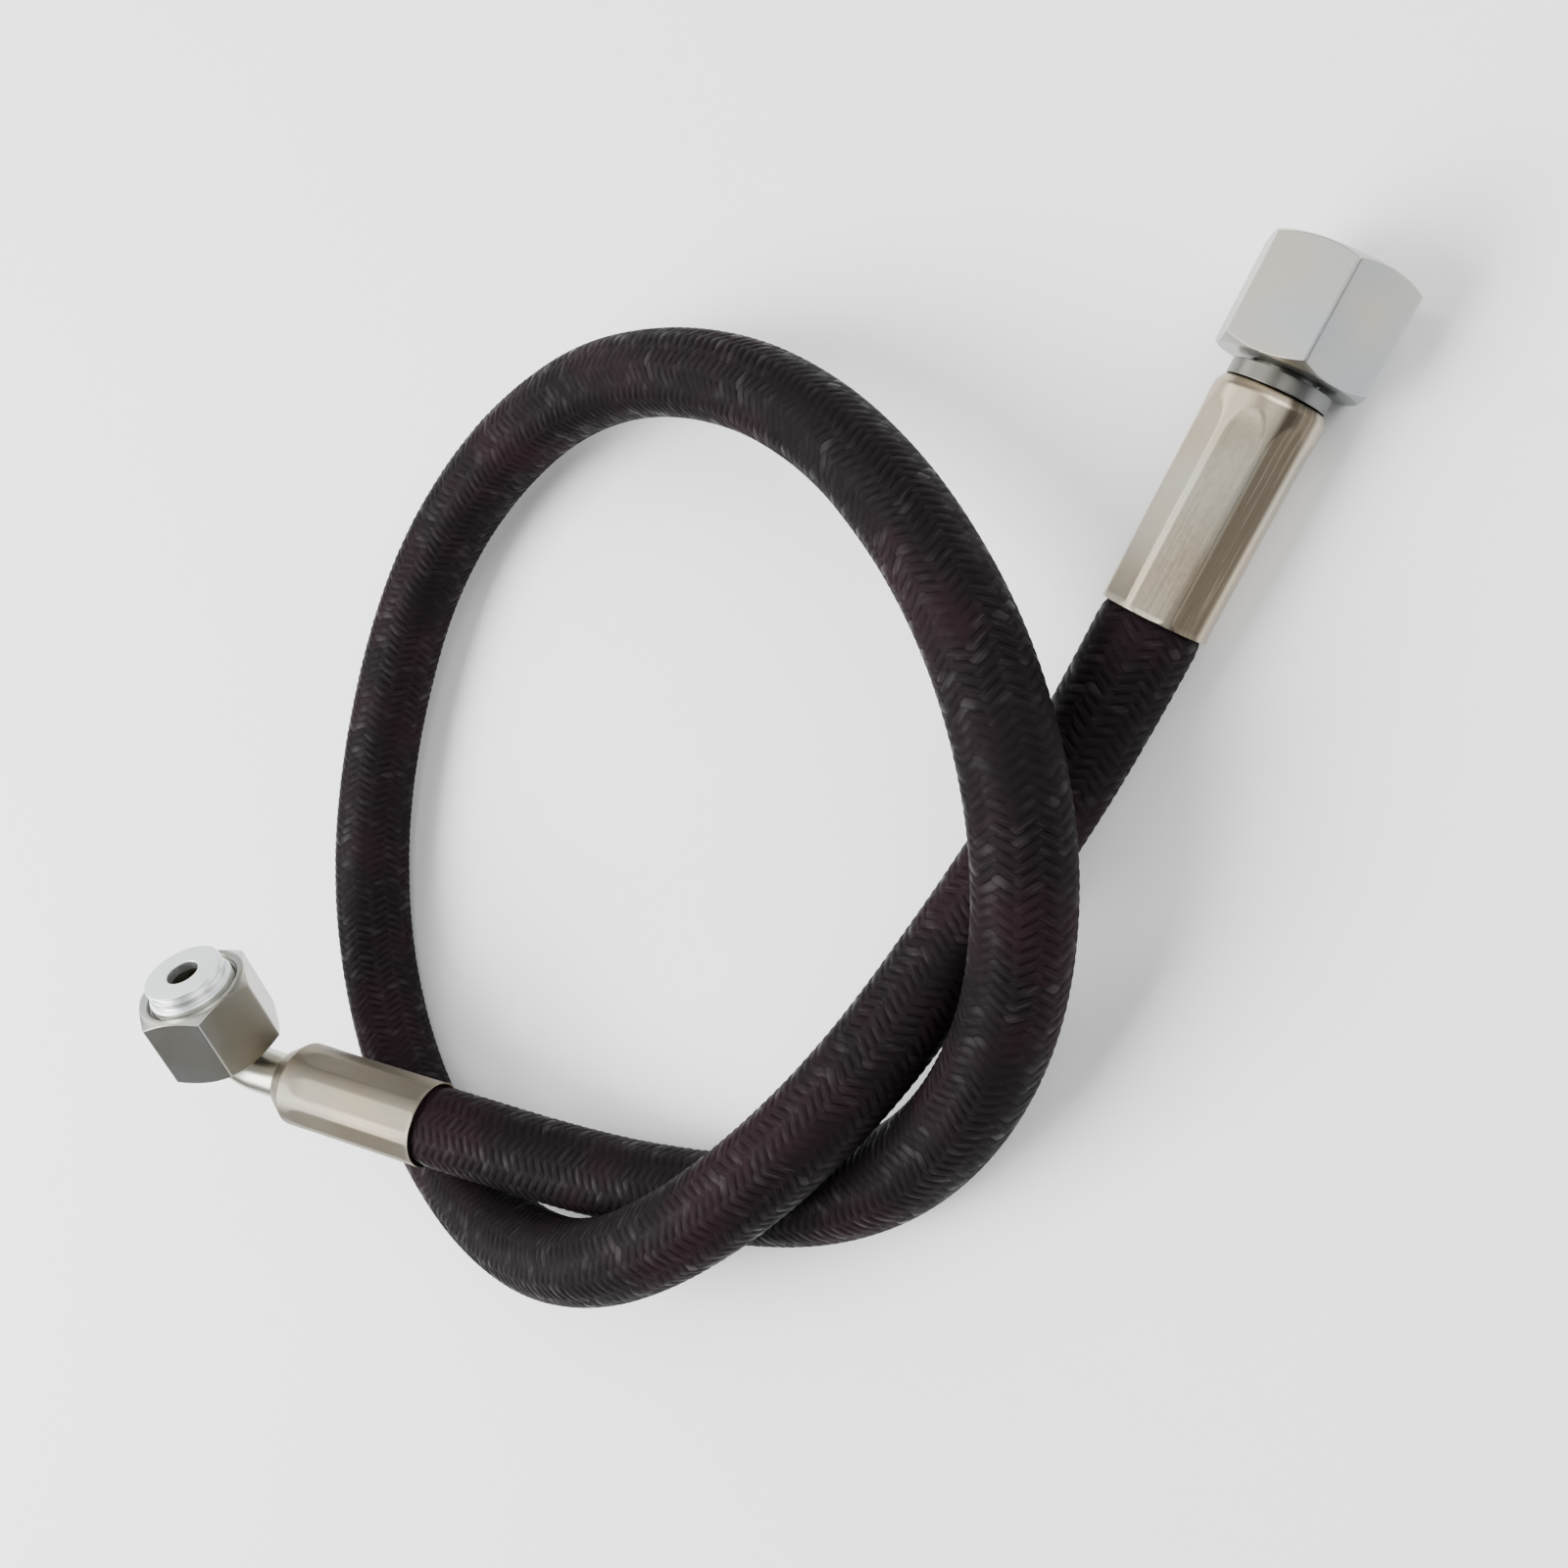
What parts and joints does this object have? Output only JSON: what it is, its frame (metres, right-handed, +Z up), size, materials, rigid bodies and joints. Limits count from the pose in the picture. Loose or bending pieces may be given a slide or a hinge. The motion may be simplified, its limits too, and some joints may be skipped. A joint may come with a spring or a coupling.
{
  "type": "hydraulic hose assembly",
  "caption": "Textile-covered hydraulic hose tied in a loose overhand knot, with a straight and a bent flat-face swivel fitting whose nuts spin and slide.",
  "frame": {"origin": "on the floor, under the middle of the two fittings' common box", "axes": "+Z up, +X out of the straight fitting's mouth along its axis"},
  "size_m": [0.3148, 0.2535, 0.0816],
  "materials": {
    "tube_rubber": "matt black oil-resistant rubber",
    "inner_textile": "grey textile braid",
    "braid_wire": "bright high-tensile wire braid",
    "cover_textile": "black rubber-impregnated textile braid, satin",
    "ferrule_steel": "zinc-plated steel, crimped",
    "stem_steel": "zinc-plated steel, turned",
    "tube_steel": "zinc-plated drawn tube",
    "sleeve_steel": "bright plated steel, turned face",
    "nut_steel": "bright zinc-plated steel",
    "ring_steel": "spring steel"
  },
  "bodies": {
    "root": {"hose_inner_tube": "tube_rubber", "hose_textile_braid": "inner_textile", "hose_wire_braid": "braid_wire", "hose_cover": "cover_textile", "ferrule_a": "ferrule_steel", "stem_a": "stem_steel", "sleeve_a": "sleeve_steel", "ferrule_b": "ferrule_steel", "stem_b": "stem_steel", "elbow_tube_b": "tube_steel", "sleeve_b": "sleeve_steel"},
    "ring_a": {"thrust_ring_a": "ring_steel"},
    "nut_a": {"swivel_nut_a": "nut_steel"},
    "ring_b": {"thrust_ring_b": "ring_steel"},
    "nut_b": {"swivel_nut_b": "nut_steel"}
  },
  "joints": [
    {"name": "nut_a_slide", "type": "slide", "parent": "root", "child": "ring_a", "axis": [-1, 0, 0], "range_m": [0, 0.0008]},
    {"name": "nut_a_spin", "type": "hinge", "parent": "ring_a", "child": "nut_a", "pos_m": [0.147, -0.088, 0.015], "axis": [1, 0, 0], "continuous": true},
    {"name": "nut_b_slide", "type": "slide", "parent": "root", "child": "ring_b", "axis": [0.731, 0.2606, 0.6306], "range_m": [0, 0.0137]},
    {"name": "nut_b_spin", "type": "hinge", "parent": "ring_b", "child": "nut_b", "pos_m": [-0.12536, 0.09188, 0.07255], "axis": [0.731, 0.2606, 0.6306], "continuous": true}
  ]
}
